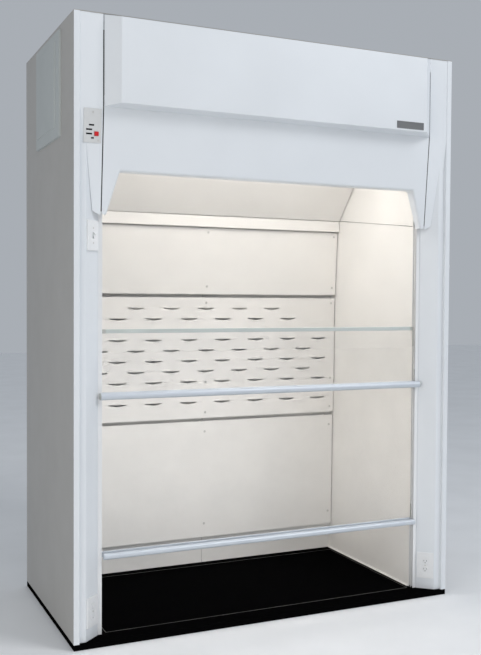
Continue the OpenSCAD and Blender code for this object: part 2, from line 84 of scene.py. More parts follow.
def set_camera():
    yaw, pitch, roll = (math.radians(angle) for angle in CAMERA_TURN)
    data = bpy.data.cameras.new("camera")
    data.sensor_width = SENSOR
    data.lens = FOCAL_SHARE * SENSOR
    cam = bpy.data.objects.new("camera", data)
    bpy.context.scene.collection.objects.link(cam)
    look = Vector((math.sin(yaw) * math.cos(pitch), math.cos(yaw) * math.cos(pitch), math.sin(pitch)))
    right = Vector((math.cos(yaw), -math.sin(yaw), 0))
    up = right.cross(look)
    tilted_right = right * math.cos(roll) + up * math.sin(roll)
    tilted_up = up * math.cos(roll) - right * math.sin(roll)
    turn = Matrix((tilted_right, tilted_up, -look)).transposed().to_4x4()
    cam.matrix_world = Matrix.Translation(at(*CAMERA_PLACE)) @ turn
    data.clip_start, data.clip_end = 0.05, 100
    bpy.context.scene.camera = cam


def area_light(name, place, target, size, power, colour):
    data = bpy.data.lights.new(name, "AREA")
    data.shape = "RECTANGLE"
    data.size, data.size_y = size
    data.energy = power
    data.color = colour
    lamp = bpy.data.objects.new(name, data)
    bpy.context.scene.collection.objects.link(lamp)
    lamp.location = place
    lamp.rotation_mode = "QUATERNION"
    lamp.rotation_quaternion = (Vector(target) - Vector(place)).to_track_quat("-Z", "Y")


def set_studio():
    scene = bpy.context.scene
    scene.view_settings.view_transform = "Standard"
    scene.view_settings.look = "None"
    world = bpy.data.worlds.new("studio")
    world.use_nodes = True
    sky = world.node_tree.nodes["Background"]
    sky.inputs["Color"].default_value = (*SKY_COLOUR, 1)
    sky.inputs["Strength"].default_value = SKY_STRENGTH
    scene.world = world
    area_light("key", (3.1, -4.2, 5.6), (0.2, -0.4, 1.0), (2.6, 2.6), 160, (0.98, 0.985, 1.0))
    area_light("side", (-4.6, -3.2, 2.4), (-0.9, 0.0, 1.2), (2.4, 2.4), 52, (1.0, 0.96, 0.90))
    area_light("low", (-2.6, -3.4, 0.28), (0.78, 0.05, 0.12), (1.2, 0.4), 7, (1.0, 0.84, 0.66))
    area_light("front", (-1.6, -5.4, 1.1), (0.1, 0.2, 0.8), (2.2, 2.2), 16, (1.0, 0.98, 0.95))
    bpy.ops.mesh.primitive_plane_add(size=40, location=(0, 0, 0))
    floor = bpy.context.active_object
    floor.name = "studio_floor"
    floor.data.materials.append(paint("studio_floor", (0.93, 0.94, 0.95), 0.6, 0.00002))


# ---------------------------------------------------------------- finishes


def new_finish(name, colour, roughness, metallic=0.0):
    mat = bpy.data.materials.new(name)
    mat.use_nodes = True
    shader = mat.node_tree.nodes["Principled BSDF"]
    shader.inputs["Base Color"].default_value = (*colour, 1)
    shader.inputs["Roughness"].default_value = roughness
    shader.inputs["Metallic"].default_value = metallic
    return mat, mat.node_tree, shader


def pattern(tree, kind, scale, stretch=(1, 1, 1), **settings):
    """A texture on the piece's own coordinates."""
    place = tree.nodes.new("ShaderNodeTexCoord")
    mapping = tree.nodes.new("ShaderNodeMapping")
    mapping.inputs["Scale"].default_value = stretch
    tree.links.new(place.outputs["Object"], mapping.inputs["Vector"])
    tex = tree.nodes.new(kind)
    tex.inputs["Scale"].default_value = scale
    for key, value in settings.items():
        tex.inputs[key.replace("_", " ")].default_value = value
    tree.links.new(mapping.outputs["Vector"], tex.inputs["Vector"])
    return tex


def tint_by(tree, shader, factor, dark, light, low=0.3, high=0.7):
    """The colour runs from dark to light as the factor does."""
    ramp = tree.nodes.new("ShaderNodeValToRGB")
    ramp.color_ramp.elements[0].position = low
    ramp.color_ramp.elements[0].color = (*dark, 1)
    ramp.color_ramp.elements[1].position = high
    ramp.color_ramp.elements[1].color = (*light, 1)
    tree.links.new(factor, ramp.inputs["Fac"])
    tree.links.new(ramp.outputs["Color"], shader.inputs["Base Color"])


def roughen_by(tree, shader, factor, low, high):
    remap = tree.nodes.new("ShaderNodeMapRange")
    remap.inputs["To Min"].default_value = low
    remap.inputs["To Max"].default_value = high
    tree.links.new(factor, remap.inputs["Value"])
    tree.links.new(remap.outputs["Result"], shader.inputs["Roughness"])


def bump_by(tree, shader, factor, strength, distance):
    bump = tree.nodes.new("ShaderNodeBump")
    bump.inputs["Strength"].default_value = strength
    bump.inputs["Distance"].default_value = distance
    tree.links.new(factor, bump.inputs["Height"])
    tree.links.new(bump.outputs["Normal"], shader.inputs["Normal"])


def shade(colour, amount):
    return tuple(max(0.0, min(1.0, c * amount)) for c in colour)


def paint(name, colour, roughness=0.32, depth=0.00012):
    """Baked enamel: a faint orange peel and slight unevenness."""
    mat, tree, shader = new_finish(name, colour, roughness)
    cloud = pattern(tree, "ShaderNodeTexNoise", 2.2, Detail=3)
    tint_by(tree, shader, cloud.outputs["Fac"], shade(colour, 0.965), shade(colour, 1.02))
    wipe = pattern(tree, "ShaderNodeTexNoise", 7, Detail=4)
    roughen_by(tree, shader, wipe.outputs["Fac"], roughness - 0.06, roughness + 0.10)
    peel = pattern(tree, "ShaderNodeTexNoise", 420, Detail=1)
    bump_by(tree, shader, peel.outputs["Fac"], 0.25, depth)
    return mat


def moulded(name, colour, roughness=0.4, depth=0.00006):
    """Moulded plastic with a fine sparked texture."""
    mat, tree, shader = new_finish(name, colour, roughness)
    cloud = pattern(tree, "ShaderNodeTexNoise", 60, Detail=2)
    tint_by(tree, shader, cloud.outputs["Fac"], shade(colour, 0.98), shade(colour, 1.01))
    grain = pattern(tree, "ShaderNodeTexNoise", 2400, Detail=1)
    bump_by(tree, shader, grain.outputs["Fac"], 0.2, depth)
    return mat


def liner_board(name, colour):
    """Resin liner board: matt, faintly mottled, with a soft wide ripple."""
    mat, tree, shader = new_finish(name, colour, 0.5)
    cloud = pattern(tree, "ShaderNodeTexNoise", 3.5, Detail=5, Roughness=0.6)
    tint_by(tree, shader, cloud.outputs["Fac"], shade(colour, 0.95), shade(colour, 1.02))
    wipe = pattern(tree, "ShaderNodeTexNoise", 5, Detail=3)
    roughen_by(tree, shader, wipe.outputs["Fac"], 0.36, 0.58)
    ripple = pattern(tree, "ShaderNodeTexNoise", 190, Detail=2)
    bump_by(tree, shader, ripple.outputs["Fac"], 0.2, 0.0002)
    return mat


def brushed(name, colour, roughness=0.34, along="x", metallic=1.0):
    """Metal with fine drawn lines along one axis."""
    stretch = {"x": (0.02, 1, 1), "y": (1, 0.02, 1)}[along]
    mat, tree, shader = new_finish(name, colour, roughness, metallic)
    lines = pattern(tree, "ShaderNodeTexNoise", 900, stretch, Detail=3)
    tint_by(tree, shader, lines.outputs["Fac"], shade(colour, 0.9), shade(colour, 1.05))
    roughen_by(tree, shader, lines.outputs["Fac"], roughness - 0.08, roughness + 0.12)
    bump_by(tree, shader, lines.outputs["Fac"], 0.15, 0.00008)
    return mat


def galvanised(name):
    """Zinc-coated sheet with its spangle."""
    colour = (0.50, 0.52, 0.54)
    mat, tree, shader = new_finish(name, colour, 0.42, 1.0)
    spangle = pattern(tree, "ShaderNodeTexVoronoi", 85, Randomness=1.0)
    tint_by(tree, shader, spangle.outputs["Color"], shade(colour, 0.82), shade(colour, 1.12), 0.1, 0.9)
    roughen_by(tree, shader, spangle.outputs["Color"], 0.30, 0.52)
    return mat


def epoxy_top(name):
    """Black cast resin worktop, satin and slightly speckled."""
    mat, tree, shader = new_finish(name, (0.006, 0.006, 0.007), 0.6)
    shader.inputs["Specular IOR Level"].default_value = 0.0
    fleck = pattern(tree, "ShaderNodeTexNoise", 260, Detail=4)
    tint_by(tree, shader, fleck.outputs["Fac"], (0.0014, 0.0014, 0.0015), (0.003, 0.003, 0.0032))
    wipe = pattern(tree, "ShaderNodeTexNoise", 6, Detail=4)
    roughen_by(tree, shader, wipe.outputs["Fac"], 0.6, 0.8)
    bump_by(tree, shader, fleck.outputs["Fac"], 0.1, 0.0001)
    return mat


def rim_highlight(name):
    """The grey rim of the spill dish, lighter than the black top: a painted highlight of the edge
    catching light, mottled by noise.
    """
    mat, tree, shader = new_finish(name, (0.05, 0.05, 0.047), 0.6)
    rim_mottle = pattern(tree, "ShaderNodeTexNoise", 40, Detail=4)
    tint_by(tree, shader, rim_mottle.outputs["Fac"], (0.022, 0.022, 0.021), (0.07, 0.07, 0.065))
    bump_by(tree, shader, rim_mottle.outputs["Fac"], 0.1, 0.0001)
    return mat


def rubber(name):
    mat, tree, shader = new_finish(name, (0.012, 0.012, 0.012), 0.7)
    fleck = pattern(tree, "ShaderNodeTexNoise", 500, Detail=3)
    tint_by(tree, shader, fleck.outputs["Fac"], (0.009, 0.009, 0.009), (0.018, 0.018, 0.018))
    bump_by(tree, shader, fleck.outputs["Fac"], 0.3, 0.0002)
    return mat


def cast_iron(name):
    mat, tree, shader = new_finish(name, (0.055, 0.055, 0.058), 0.6, 0.6)
    sand = pattern(tree, "ShaderNodeTexNoise", 420, Detail=6, Roughness=0.7)
    tint_by(tree, shader, sand.outputs["Fac"], (0.035, 0.034, 0.034), (0.085, 0.083, 0.080))
    roughen_by(tree, shader, sand.outputs["Fac"], 0.5, 0.8)
    bump_by(tree, shader, sand.outputs["Fac"], 0.5, 0.0006)
    return mat


def wire_rope(name):
    """Laid steel strands, drawn as slanting ridges, with the grooves between them painted darker than
    the crowns: painted shade.
    """
    mat, tree, shader = new_finish(name, (0.42, 0.43, 0.45), 0.4, 1.0)
    lay = pattern(tree, "ShaderNodeTexWave", 160, (1, 1, 1.6), Distortion=0.4)
    tint_by(tree, shader, lay.outputs["Fac"], (0.26, 0.27, 0.29), (0.52, 0.53, 0.55), 0.2, 0.8)
    bump_by(tree, shader, lay.outputs["Fac"], 0.6, 0.0004)
    return mat


def clear_glass(name):
    """Flat sash glass. Lamps shine straight through it."""
    tint = (0.998, 1.0, 0.999)
    mat, tree, shader = new_finish(name, tint, 0.0)
    shader.inputs["Transmission Weight"].default_value = 1.0
    shader.inputs["IOR"].default_value = 1.46
    haze = pattern(tree, "ShaderNodeTexNoise", 3, Detail=2)
    roughen_by(tree, shader, haze.outputs["Fac"], 0.0, 0.012)
    path = tree.nodes.new("ShaderNodeLightPath")
    through = tree.nodes.new("ShaderNodeBsdfTransparent")
    through.inputs["Color"].default_value = (*shade(tint, 0.95), 1)
    mix = tree.nodes.new("ShaderNodeMixShader")
    out = tree.nodes["Material Output"]
    tree.links.new(path.outputs["Is Shadow Ray"], mix.inputs["Fac"])
    tree.links.new(shader.outputs["BSDF"], mix.inputs[1])
    tree.links.new(through.outputs["BSDF"], mix.inputs[2])
    tree.links.new(mix.outputs["Shader"], out.inputs["Surface"])
    return mat


def lamp_glow(name, colour, strength):
    """A lit diffuser: prismatic relief over an even glow."""
    mat, tree, shader = new_finish(name, (0.9, 0.9, 0.88), 0.35)
    prism = pattern(tree, "ShaderNodeTexVoronoi", 210)
    tint_by(tree, shader, prism.outputs["Distance"], (0.82, 0.82, 0.80), (0.94, 0.94, 0.92))
    bump_by(tree, shader, prism.outputs["Distance"], 0.5, 0.001)
    shader.inputs["Emission Color"].default_value = (*colour, 1)
    shader.inputs["Emission Strength"].default_value = strength
    return mat


WHITE = (0.74, 0.77, 0.80)
FINISH = {
    "worktop": epoxy_top("black_worktop"),
    # The body enamel is painted much darker and warmer than the front white: painted shade on the
    # faces turned from the main light.
    "body_paint": paint("side_enamel_shaded", (0.37, 0.36, 0.34), 0.36),
    "front_paint": paint("front_enamel", WHITE, 0.30),
    "liner": liner_board("liner_board", (0.885, 0.87, 0.845)),
    "baffle": liner_board("baffle_board", (0.885, 0.865, 0.835)),
    "spacer": moulded("standoff_plastic", (0.30, 0.29, 0.27)),
    "screw_steel": brushed("screw_steel", (0.62, 0.61, 0.58), 0.4),
    "galvanised": galvanised("zinc_sheet"),
    "lens": lamp_glow("lamp_lens", (1.0, 0.96, 0.915), 10.4),
    "lamp": lamp_glow("lamp_tube", (1.0, 0.95, 0.86), 4.0),
    "plate_grey": brushed("nameplate_metal", (0.16, 0.165, 0.17), 0.5, "x", 0.3),
    "track_white": paint("track_enamel", (0.78, 0.79, 0.80), 0.34),
    "bumper": rubber("stop_rubber"),
    "sash_glass": clear_glass("sash_glass"),
    "sash_metal": brushed("sash_metal", (0.60, 0.645, 0.70), 0.38, "x", 0.25),
    "rail_grey": brushed("rail_metal", (0.52, 0.57, 0.56), 0.35, "x", 0.3),
    "glide": moulded("glide_plastic", (0.42, 0.43, 0.41)),
    "pulley": moulded("pulley_plastic", (0.02, 0.02, 0.022), 0.35),
    "axle_steel": brushed("axle_steel", (0.50, 0.51, 0.53), 0.25, "y"),
    "cable": wire_rope("wire_rope"),
    "weight_iron": cast_iron("weight_iron"),
    "device_white": moulded("device_plastic", (0.80, 0.81, 0.82), 0.3),
    "alarm_grey": moulded("alarm_plastic", (0.62, 0.63, 0.63), 0.38),
    "window_black": moulded("window_plastic", (0.008, 0.008, 0.01), 0.12, 0.00001),
    "button_red": moulded("button_plastic", (0.60, 0.003, 0.008), 0.45),
    # The covers' enamel is painted dark green-grey: painted shade on the side faces and a painted
    # reflection of a dark backdrop.
    "cover_paint": paint("cover_enamel_shade_reflection", (0.40, 0.43, 0.425), 0.36),
}


# ---------------------------------------------------------------- shaping by hand

BODY_OF = {
    node: body
    for body, members in frame["record"]["behaviour"]["bodies"].items()
    for node in members
}
SLOT_OF = {part["node"]: part["material_slot"] for part in frame["record"]["subparts"]}


def only(obj=None):
    """Object mode, with one object selected and active, or none selected."""
    if bpy.context.mode != "OBJECT":
        bpy.ops.object.mode_set(mode="OBJECT")
    bpy.ops.object.select_all(action="DESELECT")
    if obj:
        obj.select_set(True)
        bpy.context.view_layer.objects.active = obj
    return obj


def new_piece(name):
    obj = bpy.context.active_object
    obj.name = obj.data.name = name
    return obj


def settle(obj):
    only(obj)
    bpy.ops.object.transform_apply(location=True, rotation=True, scale=True)
    return obj


def cube_between(name, low, high):
    only()
    bpy.ops.mesh.primitive_cube_add(size=1, location=(low + high) / 2)
    obj = new_piece(name)
    obj.scale = high - low
    return settle(obj)


def block(name, x, depth, height):
    """A cube between two values on each axis."""
    return cube_between(name, *(at(*corner) for corner in zip(x, depth, height)))


def local_block(name, x, depth, height):
    """A cube in a frame of its own, to be placed afterwards."""
    return cube_between(name, *(Vector(corner) / MM for corner in zip(x, depth, height)))


def cylinder(name, radius, middle, length, vertices, **settings):
    """An upright cylinder about a middle, in metres, of a radius and length in millimetres."""
    only()
    bpy.ops.mesh.primitive_cylinder_add(
        vertices=vertices, radius=radius / MM, depth=length / MM, location=middle, **settings
    )
    return settle(new_piece(name))


def place(obj, frame_matrix):
    only(obj)
    obj.matrix_world = frame_matrix
    settle(obj)
    if frame_matrix.determinant() < 0:
        bpy.ops.object.mode_set(mode="EDIT")
        bpy.ops.mesh.select_all(action="SELECT")
        bpy.ops.mesh.normals_make_consistent(inside=False)
        only(obj)
    return obj


def where(part):
    """Middle of a vertex, edge or face as x, depth and height."""
    corners = [v.co for v in part.verts] if hasattr(part, "verts") else [part.co]
    middle = sum(corners, Vector()) / len(corners) * MM
    return middle.x, middle.y - FRONT, middle.z


def edit(obj):
    only(obj)
    bpy.ops.object.mode_set(mode="EDIT")
    bpy.ops.mesh.select_all(action="DESELECT")


def choose(kind, test):
    """Select the vertices, edges or faces that pass a test."""
    bpy.ops.mesh.select_mode(type=kind)
    bpy.ops.mesh.select_all(action="DESELECT")
    mesh = bpy.context.edit_object.data
    bm = bmesh.from_edit_mesh(mesh)
    bm.normal_update()
    for part in {"VERT": bm.verts, "EDGE": bm.edges, "FACE": bm.faces}[kind]:
        if test(part):
            part.select_set(True)
    bm.select_flush_mode()
    bmesh.update_edit_mesh(mesh)


def slice_through(point, normal):
    bpy.ops.mesh.select_all(action="SELECT")
    bpy.ops.mesh.bisect(plane_co=point, plane_no=Vector(normal).normalized())


def push(x=0.0, depth=0.0, height=0.0):
    bpy.ops.transform.translate(value=(x / MM, depth / MM, height / MM))


def pull_out(x=0.0, depth=0.0, height=0.0):
    bpy.ops.mesh.extrude_region_move(
        TRANSFORM_OT_translate={"value": (x / MM, depth / MM, height / MM)}
    )


def merge_flats():
    bpy.ops.mesh.select_all(action="SELECT")
    bpy.ops.mesh.dissolve_limited(angle_limit=math.radians(0.5))


def drop_faces(test):
    """Delete the faces that pass a test, and join up the rest."""
    choose("FACE", test)
    bpy.ops.mesh.delete(type="FACE")
    merge_flats()


def with_modifier(obj, kind, **settings):
    only(obj)
    mod = obj.modifiers.new(kind.title(), kind)
    for key, value in settings.items():
        setattr(mod, key, value)
    bpy.ops.object.modifier_apply(modifier=mod.name)


def smooth(obj, angle=50):
    only(obj)
    bpy.ops.object.shade_smooth_by_angle(angle=math.radians(angle))
    with_modifier(obj, "WEIGHTED_NORMAL", keep_sharp=True)
    return obj


def thicken(obj, thickness, **settings):
    with_modifier(obj, "SOLIDIFY", thickness=thickness / MM, offset=-1, **settings)


def round_edges(obj, radius, segments=2, angle=30, clamp=True):
    with_modifier(
        obj, "BEVEL", width=radius / MM, segments=segments, limit_method="ANGLE",
        angle_limit=math.radians(angle), use_clamp_overlap=clamp,
    )
    return obj


def ease(obj, radius, segments=2, angle=30):
    return smooth(round_edges(obj, radius, segments, angle))


def cut_away(obj, *cutters):
    """Take the cutters' solids out of a piece."""
    for cutter in cutters:
        with_modifier(obj, "BOOLEAN", object=cutter, operation="DIFFERENCE", solver="EXACT")
        bpy.data.objects.remove(cutter)
    return obj


def join(name, pieces):
    only(pieces[0])
    for piece in pieces[1:]:
        piece.select_set(True)
    bpy.ops.object.join()
    return new_piece(name)


def copy_of(obj, matrix):
    twin = bpy.data.objects.new(obj.name, obj.data.copy())
    bpy.context.scene.collection.objects.link(twin)
    return place(twin, matrix)


def fit(obj, *stands_for, slot=None, body=None, finish=None):
    """Give a piece its finish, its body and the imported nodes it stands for."""
    slot = slot or SLOT_OF[stands_for[0]]
    obj.data.materials.clear()
    obj.data.materials.append(finish or FINISH[slot])
    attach(obj, body or BODY_OF[stands_for[0]])
    if stands_for:
        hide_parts(*stands_for)
    return obj


def folded_sheet(name, corner, along, legs, outward, fold, shape=None, segments=4, clamp=True):
    """Sheet metal: one long side carried through its legs, folded, then given its thickness."""
    corner, along, first = at(*corner), Vector(along) / MM, Vector(legs[0]) / MM
    sides = (along.normalized(), first.normalized())
    turn = Matrix((*sides, sides[0].cross(sides[1]))).transposed()
    only()
    bpy.ops.mesh.primitive_plane_add(
        size=1, location=corner + (along + first) / 2, rotation=turn.to_euler()
    )
    obj = new_piece(name)
    obj.scale = (along.length, first.length, 1)
    settle(obj)
    turned_in = obj.data.polygons[0].normal.dot(Vector(outward)) < 0
    edit(obj)
    far_side = corner + first + along / 2
    far = (far_side.x * MM, far_side.y * MM - FRONT, far_side.z * MM)
    choose("EDGE", lambda e: math.dist(where(e), far) < 0.01)
    for leg in legs[1:]:
        pull_out(*leg)
    if turned_in:
        bpy.ops.mesh.select_all(action="SELECT")
        bpy.ops.mesh.flip_normals()
    if shape:
        shape()
    merge_flats()
    if fold:
        round_edges(obj, fold, segments, 20, clamp)
    thicken(obj, SKIN, use_even_offset=True)
    return smooth(obj)


def dressed(node, radius, segments=2):
    """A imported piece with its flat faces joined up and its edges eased."""
    obj = bpy.data.objects.new(node + "_eased", nodes[node].data.copy())
    bpy.context.scene.collection.objects.link(obj)
    edit(obj)
    bpy.ops.mesh.select_all(action="SELECT")
    bpy.ops.mesh.remove_doubles(threshold=0.00001)
    merge_flats()
    only(obj)
    if radius:
        ease(obj, radius, segments)
    else:
        bpy.ops.object.shade_flat()
    return fit(obj, node)


# ---------------------------------------------------------------- places on the cabinet

DEPTH = 931.0
LINER_X = 777.0
LINER_FRONT, LINER_BACK, LINER_TOP = 109.0, 893.0, 2200.0
POST_X = HALF_W - 119.5
POST_BACK = 108.0
WALL_TOP = 2563.0
BASE_H = 25.0
STRIP_X = HALF_W - 25
GROOVE = 15.0
FOLD_OUT = (HALF_W - 53.5, 15.5)
FOLD_IN = (POST_X, 74.0)
PANEL_Y = 3.0
PANEL_TOP = 2240.0
WING_FOOT = 1762.0
LEAN_TOP, LEAN_FOOT = 2190.0, 1775.0
LEAN = 35.0 / (LEAN_TOP - LEAN_FOOT)
FASCIA_HALF = POST_X - 5
PROUD = 55.0
OUTLET_Z, SWITCH_Z = 140.0, 1679.0
ALARM_X, ALARM_Z = -837.0, 2116.0
OUTLET_CUT = (-19, 19), (-6, 12), (-37, 37)
ALARM_CUT = (-27.5, 27.5), (-2, 34), (-56.5, 56.5)
COLLAR_Y = 730.0
COLLAR_FOOT, COLLAR_TOP = 2206.0, 2642.0
FLANGE_TOP = 2568.0
BOX_TOP = 2620.0
PULLEY_Z = 2480.0
PANE_TOP = {"upper": 2010, "lower": 1291}
ROPE_X = 783.0
BAFFLES = {
    ((817, 1792), (838, 1450)): (1770, 1490),
    ((842, 1432), (852, 800)): (1405, 990, 830),
    ((857, 782), (862, 168)): (728, 240),
}


def on_slant(side, height):
    """Frame on the slanting face of a post: x along the face, y into the post."""
    middle = at((FOLD_OUT[0] + FOLD_IN[0]) / 2, (FOLD_OUT[1] + FOLD_IN[1]) / 2, height)
    angle = math.atan2(FOLD_OUT[1] - FOLD_IN[1], FOLD_OUT[0] - FOLD_IN[0])
    right = Matrix.Translation(middle) @ Matrix.Rotation(angle, 4, "Z")
    return right if side > 0 else Matrix.Scale(-1, 4, (1, 0, 0)) @ right


def on_alarm():
    """Frame on the left wing where the alarm sits."""
    middle = at(ALARM_X, PANEL_Y + (LEAN_TOP - ALARM_Z) * LEAN, ALARM_Z)
    return Matrix.Translation(middle) @ Matrix.Rotation(math.atan(LEAN), 4, "X")


def facing_front(x, depth, height, tilt=0.0):
    """Frame with its z axis towards the front."""
    turn = Matrix.Rotation(math.radians(90 + tilt), 4, "X")
    return Matrix.Translation(at(x, depth, height)) @ turn


def screw_head(radius, rise, slot_width=0.0):
    """A screw head with its middle on the plane z = 0, and a driver slot."""
    obj = cylinder("screw_head", radius, (0, 0, 0), rise, 20)
    edit(obj)
    edge = slot_width / 2 / MM
    if slot_width:
        for side in (-1, 1):
            slice_through((0, side * edge, 0), (0, 1, 0))
        choose("FACE", lambda f: f.normal.z > 0.9 and abs(f.calc_center_median().y) < edge / 2)
        pull_out(height=-rise * 0.5)
    only(obj)
    return smooth(obj, 40)


def screws_at(name, master, frames):
    """The same screw at each frame, as one piece. The master is used up."""
    screws = join(name, [copy_of(master, f) for f in frames])
    bpy.data.objects.remove(master)
    return screws


# ---------------------------------------------------------------- cabinet


def make_work_floor():
    floor = block("work_floor", (-HALF_W, HALF_W), (0, DEPTH), (0, BASE_H))
    edge = LINER_X - 22
    edit(floor)
    for x in (-edge, edge):
        slice_through(at(x, 0, 0), (1, 0, 0))
    for depth in (92, 838):
        slice_through(at(0, depth, 0), (0, 1, 0))
    choose("FACE", lambda f: f.normal.z > 0.9 and math.dist(where(f), (0, 465, BASE_H)) < 1)
    pull_out(height=-6)
    fit(ease(floor, 2.2, 3), "base_slab")
    rim = block("dish_rim", (-edge - 1.5, edge + 1.5), (90.5, 839.5), (BASE_H - 0.3, BASE_H + 0.5))
    cut_away(rim, block("cut", (2 - edge, edge - 2), (94, 836), (0, 50)))
    # The rim's lighter grey is a painted highlight along the dish's edge.
    fit(ease(rim, 0.2), slot="worktop", body="hood", finish=rim_highlight("rim_highlight_resin"))


def cut_wing_foot(side):
    """Trim the foot of a wing to the lines where it meets the slanting face."""
    corners = [(POST_X, WING_FOOT), (POST_X + 35, 1779), (FOLD_OUT[0], 2050), (STRIP_X + 1, 2050)]

    def foot_at(x):
        for (x0, z0), (x1, z1) in zip(corners, corners[1:]):
            if x <= x1:
                return z0 + (z1 - z0) * (x - x0) / (x1 - x0)
        return corners[-1][1]

    def trim():
        for (x0, z0), (x1, z1) in zip(corners, corners[1:]):
            slice_through(at(side * x0, 0, z0), (z0 - z1, 0, side * (x1 - x0)))
        choose("FACE", lambda f: where(f)[2] < foot_at(side * where(f)[0]))
        bpy.ops.mesh.delete(type="FACE")

    return trim


def make_post(side, name, node):
    post = folded_sheet(
        name, (side * POST_X, POST_BACK, BASE_H), (0, 0, WALL_TOP - BASE_H),
        [(0, FOLD_IN[1] - POST_BACK, 0),
         (side * (FOLD_OUT[0] - FOLD_IN[0]), FOLD_OUT[1] - FOLD_IN[1], 0),
         (side * (STRIP_X - FOLD_OUT[0]), GROOVE - FOLD_OUT[1], 0),
         (0, -GROOVE, 0),
         (side * (HALF_W - STRIP_X), 0, 0)],
        (-side, 0, 0), 3.5,
    )
    wing = folded_sheet(
        name + "_wing", (side * POST_X, PANEL_Y, WALL_TOP), (side * (STRIP_X - POST_X + 1), 0, 0),
        [(0, 0, LEAN_TOP - WALL_TOP), (0, (LEAN_TOP - WING_FOOT) * LEAN, WING_FOOT - LEAN_TOP)],
        (0, -1, 0), 0, cut_wing_foot(side),
    )
    for height in (OUTLET_Z,) if side > 0 else (OUTLET_Z, SWITCH_Z):
        cut_away(post, place(local_block("cut", *OUTLET_CUT), on_slant(side, height)))
    if side < 0:
        for sheet in (post, wing):
            cut_away(sheet, place(local_block("cut", *ALARM_CUT), on_alarm()))
    fit(post, node)
    fit(wing, node)


def make_fascia():
    """A pan with slanting ends, open at the back and rolled at its folds."""
    low, high = 2195.0, WALL_TOP - 3
    middle = (low + high) / 2
    pan = block("fascia_pan", (-FASCIA_HALF, FASCIA_HALF), (-PROUD, PANEL_Y), (low, high))
    edit(pan)
    slice_through(at(0, 0, 0), (0, 1, 0))
    for side in (-1, 1):
        choose("VERT", lambda v: where(v)[1] < 1 - PROUD and where(v)[0] * side > 0)
        push(x=-side * PROUD)
    choose("VERT", lambda v: where(v)[1] < 1 - PROUD and where(v)[2] < middle)
    push(height=9)
    choose("VERT", lambda v: where(v)[1] < 1 - PROUD and where(v)[2] > middle)
    push(height=-15)
    drop_faces(lambda f: f.normal.y > 0.9)
    only(pan)
    round_edges(pan, 8, 5, 25)
    thicken(pan, SKIN, use_even_offset=True)
    fit(smooth(pan, 40), "fascia")


def make_nameplate():
    """A blank plate with a raised border."""
    plate = block("blank_nameplate", (570, 717), (-PROUD - 1.4, -PROUD), (2212, 2245))
    edit(plate)
    choose("FACE", lambda f: f.normal.y < -0.9)
    bpy.ops.mesh.inset(thickness=0.0025)
    bpy.ops.mesh.inset(thickness=0.0012)
    push(depth=0.5)
    only(plate)
    fit(ease(plate, 0.3), "nameplate")


def make_lower_panel():
    """The leaning panel, with its cut-out turned back in a rolled lip."""
    top, drop, half, widening, lip_back = 1942.0, 202.0, 716.0, 61.0, 72.0
    spread = widening / drop
    foot = 1766

    def cut_out():
        for side in (-1, 1):
            slice_through(at(side * half, 0, top), (drop, 0, side * widening))
        slice_through(at(0, 0, top), (0, 0, 1))
        drop_faces(
            lambda f: where(f)[2] < top and abs(where(f)[0]) < half + (top - where(f)[2]) * spread
        )
        choose("EDGE", lambda e: len(e.link_faces) == 1 and is_lip(*where(e)))
        pull_out(depth=40)
        bpy.ops.transform.resize(value=(1, 0, 1), center_override=at(0, lip_back, top))

    def is_lip(x, _, z):
        on_line = abs(abs(x) - half - (top - z) * spread) < 0.5
        return abs(z - top) < 0.5 and abs(x) < half or on_line and z < top

    panel = folded_sheet(
        "lower_front_panel", (-FASCIA_HALF, PANEL_Y, PANEL_TOP), (2 * FASCIA_HALF, 0, 0),
        [(0, 0, LEAN_TOP - PANEL_TOP), (0, (LEAN_TOP - foot) * LEAN, foot - LEAN_TOP)],
        (0, -1, 0), 11, cut_out, segments=6, clamp=False,
    )
    fit(panel, "lower_panel")


def make_gap_shade_strips():
    """Dark strips in the rubber finish behind the gaps between the wings and the panels: painted shade
    in the gaps.
    """
    foot, behind = 1778, PANEL_Y + SKIN
    shade_strips = []
    for side in (-1, 1):
        ends = sorted((side * (FASCIA_HALF - 4), side * (POST_X + 4)))
        shade_strip = block("shade_strip", ends, (behind + 0.2, behind + 3.2), (foot, WALL_TOP - 12))
        edit(shade_strip)
        slice_through(at(0, 0, LEAN_TOP), (0, 0, 1))
        choose("VERT", lambda v: where(v)[2] < foot + 1)
        push(depth=(LEAN_TOP - foot) * LEAN)
        only(shade_strip)
        shade_strips.append(shade_strip)
    fit(ease(join("gap_shade_strips", shade_strips), 0.5), slot="bumper", body="hood")


